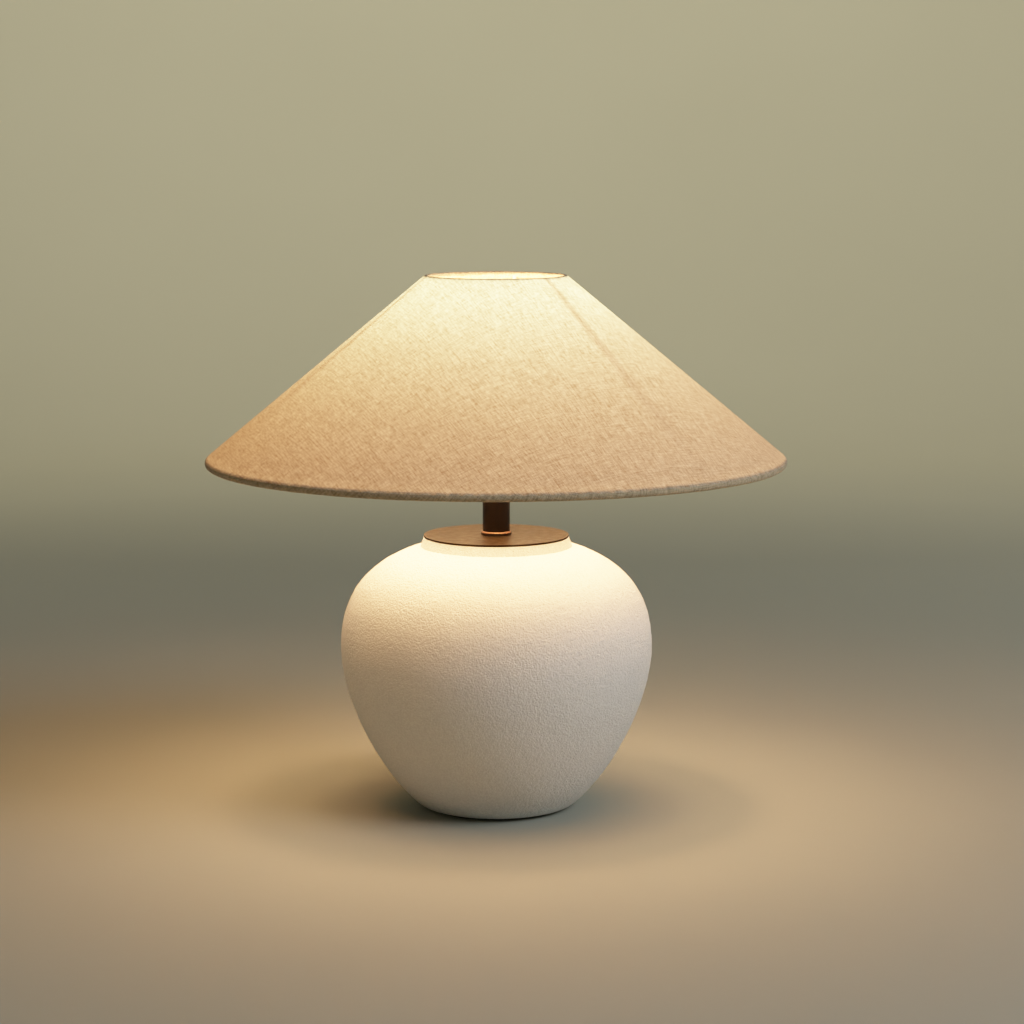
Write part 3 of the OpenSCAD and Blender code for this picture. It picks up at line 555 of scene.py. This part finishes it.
def make_vase():
    outline, shown = vase_profile()
    rows, points = len(outline), []
    for i, spot in enumerate(outline):
        before, after = outline[(i - 1) % rows], outline[(i + 1) % rows]
        along = (after - before).normalized()
        side = Vector((along.y, -along.x))
        deep = RELIEF_DEPTH * min(1, i / 6, max(0, (shown - 1 - i) / 4))
        for j in range(VASE_SIDES):
            turn = 2 * math.pi * j / VASE_SIDES
            flat = Vector((math.cos(turn), math.sin(turn), 0))
            point = flat * spot.x + Vector((0, 0, spot.y))
            if deep > 0:
                point += (flat * side.x + Vector((0, 0, side.y))) * deep * relief(point)
            points.append(point)
    faces = grid_faces(rows, VASE_SIDES, close_rows=True)
    piece = mesh_piece("vase", points, faces, FINISHES["vase_ceramic"])
    cut_gland_hole(piece)
    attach(piece, "base")
    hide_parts("vase_body")


def cut_gland_hole(piece):
    """Takes the cord gland's hole out of the wall, along the gland's own axis."""
    inlet = next(m for m in frame["record"]["mounts"] if m["name"] == "cord_inlet")
    way = Vector(inlet["axis"]).normalized()
    radius, length, sides = 6.05 * MM, 30 * MM, 64
    across = way.orthogonal().normalized()
    middle = Vector(inlet["pos_m"])
    ring = [math.tau * i / sides for i in range(sides)]
    points = [
        middle + way * end + radius * (across * math.cos(a) + way.cross(across) * math.sin(a))
        for end in (-length, length) for a in ring]
    faces = [(i, (i + 1) % sides, sides + (i + 1) % sides, sides + i) for i in range(sides)]
    faces += [tuple(reversed(range(sides))), tuple(range(sides, 2 * sides))]
    cutter = mesh_piece("gland_cutter", points, faces, FINISHES["vase_ceramic"])
    hole = piece.modifiers.new("gland_hole", "BOOLEAN")
    hole.object, hole.operation, hole.solver = cutter, "DIFFERENCE", "MANIFOLD"
    depsgraph = bpy.context.evaluated_depsgraph_get()
    cut = bpy.data.meshes.new_from_object(piece.evaluated_get(depsgraph), depsgraph=depsgraph)
    piece.modifiers.clear()
    piece.data = cut
    bpy.data.objects.remove(cutter)


make_vase()


# ---------------------------------------------------------------- shade

LINEN_T, LINING_T = 0.6 * MM, 0.5 * MM
LOW_ROLL_R, TOP_ROLL_R = 3.4 * MM, 1.9 * MM
SHADE_LOW, SHADE_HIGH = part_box("bottom_hem")[0][2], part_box("top_hem")[1][2]
LOW_C = Vector((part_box("bottom_hem")[1][0] - LOW_ROLL_R, SHADE_LOW + LOW_ROLL_R))
TOP_C = Vector((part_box("top_hem")[1][0] - TOP_ROLL_R, SHADE_HIGH - TOP_ROLL_R))
RUN = TOP_C - LOW_C
SLOPE = math.atan2(RUN.y, -RUN.x) - math.asin((LOW_ROLL_R - TOP_ROLL_R) / RUN.length)
UP = Vector((-math.cos(SLOPE), math.sin(SLOPE)))
OUT = Vector((math.sin(SLOPE), math.cos(SLOPE)))
LOW_P, TOP_P = LOW_C + LOW_ROLL_R * OUT, TOP_C + TOP_ROLL_R * OUT
SLANT_LOW, SLANT_TOP = LOW_P.x / math.cos(SLOPE), TOP_P.x / math.cos(SLOPE)
SEAM_LAP = 9 * MM
HEM_LAYER = 0.7 * MM
WRAP = 28  # degrees that the cover and lining go round the bottom roll, before the hem's own cloth starts
WRAP_STEPS = 6
FACING = math.degrees(math.atan2(OUT.y, OUT.x))


def ring_point(turn, radius, height):
    """A point at an angle from the front, towards +X."""
    return Vector((radius * math.sin(turn), -radius * math.cos(turn), height))


def flat_cloth(turn, slant):
    """Where a point lies in the flat cloth: the cone opened out, its front generator along X."""
    opened = turn * math.cos(SLOPE)
    return slant * math.cos(opened), slant * math.sin(opened)


def slant_line(rows, under):
    """Points up the shade at a depth under its outside.

    Each comes with its outward direction and its place along the flat cloth.
    """
    line = []
    for i in range(WRAP_STEPS):
        turned = WRAP * (1 - i / WRAP_STEPS)
        side = arc(Vector((0, 0)), 1, FACING - turned, FACING, 1)[0]
        slant = SLANT_LOW + LOW_ROLL_R * math.radians(turned)
        line.append((LOW_C + (LOW_ROLL_R - under) * side, side, slant))
    for i in range(rows + 1):
        share = i / rows
        slant = SLANT_LOW + (SLANT_TOP - SLANT_LOW) * share
        line.append((LOW_P.lerp(TOP_P, share) - under * OUT, OUT, slant))
    return line


def make_cover():
    """One sheet of linen round the cone, its ends lapped along the back generator."""
    sides = 360
    lap = 0.5 * SEAM_LAP
    uvs, points = [], []
    # each column: share of a half turn, distance past the back generator there, and how far it stands out
    columns = [(-1, -lap, 0)] + [(2 * j / sides - 1, 0, 0) for j in range(1, sides)]
    columns += [(1, -lap * 1.6, 0.1), (1, -lap * 1.2, 0.8), (1, -lap, 1.15), (1, 0, 1.2), (1, lap * 0.5, 1.2),
        (1, lap, 1.1)]
    line = slant_line(72, 0)
    for spot, side, slant in line:
        share = (SLANT_LOW - slant) / (SLANT_LOW - SLANT_TOP)
        ends = max(0, min(1, 4 * share, 4 * (1 - share)))
        for half, past, out in columns:
            turn = half * math.pi + past / spot.x
            wave = noise.noise(Vector((12 * math.sin(turn), 12 * math.cos(turn), slant / (18 * MM))))
            stand = out * LINEN_T + ends * 0.06 * MM * wave
            where = spot + side * stand
            points.append(ring_point(turn, where.x, where.y))
            uvs.append(flat_cloth(turn, slant))
    faces = grid_faces(len(line), len(columns), close_columns=False)
    piece = mesh_piece("linen_cover", points, faces, LINEN_LIT, uvs)
    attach(piece, "shade")
    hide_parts("shade_cover")
    return piece


def make_lining():
    """The stiff lining's smooth cone, close behind the linen."""
    sides, points = 288, []
    line = slant_line(16, LINEN_T + 0.5 * LINING_T)
    for spot, _, _ in line:
        points += [ring_point(math.tau * j / sides, spot.x, spot.y) for j in range(sides)]
    piece = mesh_piece("lining_cone", points, grid_faces(len(line), sides), FINISHES["lining"])
    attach(piece, "shade")
    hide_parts("shade_lining")


def make_hem(name, node, centre, radius, side, slant):
    """Linen rolled round a wire ring: from the cover, round the wire and back inside as a turned-in edge.

    side is -1 for the bottom hem, which rolls downwards, and 1 for the top one.
    """
    sides = 480
    start = FACING - WRAP if side < 0 else FACING
    gap = LINEN_T + LINING_T + 0.05 * MM
    turned = 360 - math.degrees(math.acos(1 - (gap + HEM_LAYER) / radius))
    outer = arc(centre, radius, start, FACING + side * turned, 40)
    face = centre + (radius - gap) * OUT
    strip = -side * UP
    reach = (outer[-1] - centre).dot(strip)
    inner_edge = [face - HEM_LAYER * OUT + strip * (reach + far * MM) for far in (1.2, 3, 5, 6.6)]
    outer_edge = [face + strip * (reach + far * MM) for far in (6.6, 5, 3, 1.2)]
    inner = arc(centre, radius - HEM_LAYER, FACING + side * turned * 0.985, start, 30)
    outline = outer + inner_edge + outer_edge + inner
    rows, points, uvs, run = len(outline), [], [], 0.0
    for i, spot in enumerate(outline):
        run += (spot - outline[i - 1]).length if 0 < i < len(outer) + 4 else 0
        outwards = (spot - centre).normalized()
        free = min(1, i / 5) if i < len(outer) else 0
        for j in range(sides):
            turn = math.tau * (j / sides - 0.5)
            ring = Vector((math.sin(turn), math.cos(turn), 0)) * centre.x
            pucker = noise.noise(Vector((ring.x / (7 * MM), ring.y / (7 * MM), run / (5 * MM))))
            pucker += 0.6 * noise.noise(Vector((ring.x / (2.4 * MM), ring.y / (2.4 * MM), run / (3 * MM))))
            where = spot + outwards * free * 0.13 * MM * pucker
            points.append(ring_point(turn, where.x, where.y))
            uvs.append(flat_cloth(turn, slant - side * -run))
    piece = mesh_piece(name, points, grid_faces(rows, sides, close_rows=True), FINISHES["linen"], uvs,
        math.radians(60))
    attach(piece, "shade")
    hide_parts(node)
    return piece


cover = make_cover()
make_lining()
hems = [
    make_hem("linen_hem_bottom", "bottom_hem", LOW_C, LOW_ROLL_R, -1, SLANT_LOW),
    make_hem("linen_hem_top", "top_hem", TOP_C, TOP_ROLL_R, 1, SLANT_TOP),
]


# ---------------------------------------------------------------- stage, lights, camera


def round_sweep(name, radius, bend, height):
    """A round floor that curves up into a wall all the way round, so the lamp is seen from every side."""
    line = [Vector((0.01, 0.0)), Vector((radius - bend, 0.0))]
    line += arc(Vector((radius - bend, bend)), bend, -90, 0, 24)[1:] + [Vector((radius, height))]
    sides = 96
    points = [ring_point(math.tau * j / sides, spot.x, spot.y) for spot in line for j in range(sides)]
    faces = grid_faces(len(line), sides) + [tuple(range(sides))]
    return mesh_piece(name, points, faces, stage_paint())


def stage_paint():
    f = Finish("stage_paint")
    away = f.add("ShaderNodeVectorMath", operation="LENGTH")
    f.put(away.inputs[0], f.place)
    # painted shade and light: the floor is darker near the lamp, which dims its pool of lamp light, and
    # lighter further out towards the wall
    rise = f.span(away.outputs["Value"], 0.4, 1.9)
    tone = f.mix(f.noise(0.5, 4), f.mix(rise, (0.27, 0.265, 0.22), (0.54, 0.51, 0.4)),
        f.mix(rise, (0.3, 0.295, 0.245), (0.58, 0.55, 0.435)))
    return f.done(f.principled(Base_Color=tone, Roughness=0.9, Normal=f.bump(f.noise(0.02, 3), 0.2 * MM)))


def light(name, kind, place, aim, power, colour, **settings):
    lamp = bpy.data.lights.new(name, kind)
    lamp.energy, lamp.color = power, colour
    for key, value in settings.items():
        setattr(lamp, key, value)
    holder = bpy.data.objects.new(name, lamp)
    holder.location = place
    holder.rotation_euler = (Vector(aim) - Vector(place)).to_track_quat("-Z", "Y").to_euler()
    holder.visible_camera = False
    bpy.context.scene.collection.objects.link(holder)


round_sweep("backdrop", 3.6, 1.3, 3.2)

LAMP_TINT = (1.0, 0.51, 0.24)
LAMP_MIDDLE = (0, 0, 0.25)
light("bulb_light", "POINT", GLOBE_C, (0, 0, 0), 4.8, LAMP_TINT, shadow_soft_size=GLOBE_R - 2 * MM)
light("window", "AREA", (1.9, -1.1, 1.75), LAMP_MIDDLE, 46, (0.86, 0.94, 1.0),
    shape="RECTANGLE", size=1.5, size_y=1.1)
light("backdrop_light", "AREA", (0, 2.1, 2.5), (0, 3.1, 2.15), 48, (1.0, 0.92, 0.66),
    shape="RECTANGLE", size=2.8, size_y=0.6)
light("fill", "AREA", (-1.8, -1.6, 1.3), LAMP_MIDDLE, 1, (0.95, 0.97, 1.0),
    shape="RECTANGLE", size=1.6, size_y=1.2)

world = bpy.data.worlds.new("studio")
world.use_nodes = True
world.node_tree.nodes["Background"].inputs["Color"].default_value = (0.86, 0.92, 0.9, 1)
world.node_tree.nodes["Background"].inputs["Strength"].default_value = 0.07
bpy.context.scene.world = world

eye = bpy.data.cameras.new("eye")
eye.sensor_width = 36
eye.lens = 96.09
eye.clip_end = 20
camera = bpy.data.objects.new("eye", eye)
camera.location = (0, -2.1075, 0.5274)
camera.rotation_euler = [math.radians(a) for a in (82.03, 0.05, -0.34)]
bpy.context.scene.collection.objects.link(camera)
bpy.context.scene.camera = camera

FILM_SPEED = 1.15
FILM_LIGHT = (0, 0.1, 0.25, 0.5, 0.8, 1.2, 1.8, 2.6, 4, 7)


def film_curve(view):
    """A film's response to light: straight in the dark, with a soft shoulder that keeps the shade's hue."""
    view.view_transform = "Standard"
    view.use_curve_mapping = True
    curves = view.curve_mapping
    curves.clip_max_x = FILM_LIGHT[-1]
    line = curves.curves[3]
    for point, exposure in zip(line.points, (FILM_LIGHT[0], FILM_LIGHT[-1])):
        point.location = (exposure, 1 - math.exp(-FILM_SPEED * exposure))
    for exposure in FILM_LIGHT[1:-1]:
        line.points.new(exposure, 1 - math.exp(-FILM_SPEED * exposure))
    curves.update()


film_curve(bpy.context.scene.view_settings)
